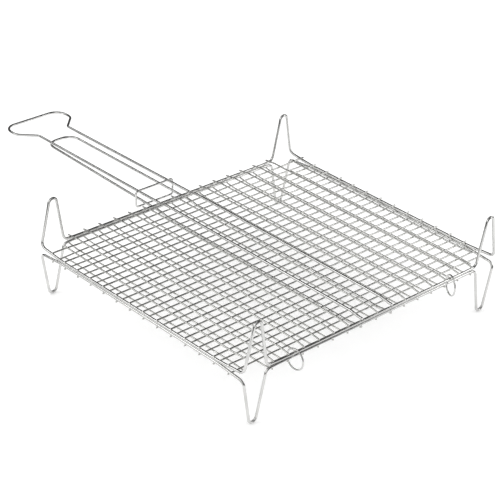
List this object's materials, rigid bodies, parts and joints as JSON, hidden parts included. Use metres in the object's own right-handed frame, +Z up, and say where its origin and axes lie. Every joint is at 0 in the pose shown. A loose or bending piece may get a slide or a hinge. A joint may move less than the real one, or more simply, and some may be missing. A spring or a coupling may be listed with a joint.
{
  "type": "hinged grill grate",
  "caption": "Double-sided hinged wire grill on V-shaped wire legs, with a long fishtail handle, a short U handle and a sliding latch ring.",
  "frame": {"origin": "on the floor, midway between the four feet of the closed grill", "axes": "+X from the handle to the hinge, +Y across the handle, +Z up"},
  "size_m": [0.7485, 0.4734, 0.1484],
  "materials": {
    "plated_wire": "bright plated steel wire"
  },
  "bodies": {
    "lower_grate": {"lower_cross_wire_01": "plated_wire", "lower_cross_wire_02": "plated_wire", "lower_cross_wire_03": "plated_wire", "lower_cross_wire_04": "plated_wire", "lower_cross_wire_05": "plated_wire", "lower_cross_wire_06": "plated_wire", "lower_cross_wire_07": "plated_wire", "lower_cross_wire_08": "plated_wire", "lower_cross_wire_09": "plated_wire", "lower_cross_wire_10": "plated_wire", "lower_cross_wire_11": "plated_wire", "lower_cross_wire_12": "plated_wire", "lower_cross_wire_13": "plated_wire", "lower_cross_wire_14": "plated_wire", "lower_handle": "plated_wire", "lower_long_wire_middle": "plated_wire", "lower_long_wires_2": "plated_wire", "lower_long_wires_3": "plated_wire", "lower_long_wires_4": "plated_wire", "lower_long_wires_5": "plated_wire", "lower_long_wires_6": "plated_wire", "lower_long_wires_7": "plated_wire", "lower_long_wires_8": "plated_wire", "lower_rim": "plated_wire"},
    "upper_grate": {"upper_cross_wire_01": "plated_wire", "upper_cross_wire_02": "plated_wire", "upper_cross_wire_03": "plated_wire", "upper_cross_wire_04": "plated_wire", "upper_cross_wire_05": "plated_wire", "upper_cross_wire_06": "plated_wire", "upper_cross_wire_07": "plated_wire", "upper_cross_wire_08": "plated_wire", "upper_cross_wire_09": "plated_wire", "upper_cross_wire_10": "plated_wire", "upper_cross_wire_11": "plated_wire", "upper_cross_wire_12": "plated_wire", "upper_cross_wire_13": "plated_wire", "upper_cross_wire_14": "plated_wire", "upper_handle": "plated_wire", "upper_long_wire_middle": "plated_wire", "upper_long_wires_2": "plated_wire", "upper_long_wires_3": "plated_wire", "upper_long_wires_4": "plated_wire", "upper_long_wires_5": "plated_wire", "upper_long_wires_6": "plated_wire", "upper_long_wires_7": "plated_wire", "upper_long_wires_8": "plated_wire", "upper_rim": "plated_wire"},
    "latch_ring": {"latch_ring": "plated_wire"},
    "hinge_ring_right": {"hinge_ring_right": "plated_wire"},
    "hinge_ring_left": {"hinge_ring_left": "plated_wire"}
  },
  "joints": [
    {"name": "grate_hinge", "type": "hinge", "parent": "lower_grate", "child": "upper_grate", "pos_m": [0.2023, 0, 0.0742], "axis": [0, 1, 0], "range_deg": [0, 180]},
    {"name": "latch_slide", "type": "slide", "parent": "upper_grate", "child": "latch_ring", "axis": [-0.9999, 0, -0.0122], "range_m": [0, 0.229]},
    {"name": "hinge_ring_right_hang", "type": "hinge", "parent": "upper_grate", "child": "hinge_ring_right", "pos_m": [0.20057, -0.14575, 0.07585], "axis": [0, 1, 0], "range_deg": [-180, 0]},
    {"name": "hinge_ring_left_hang", "type": "hinge", "parent": "upper_grate", "child": "hinge_ring_left", "pos_m": [0.20057, 0.14575, 0.07585], "axis": [0, 1, 0], "range_deg": [-180, 0]}
  ],
  "couplings": [
    {"joint": "hinge_ring_right_hang", "follows": "grate_hinge", "ratio": -1},
    {"joint": "hinge_ring_left_hang", "follows": "grate_hinge", "ratio": -1}
  ]
}
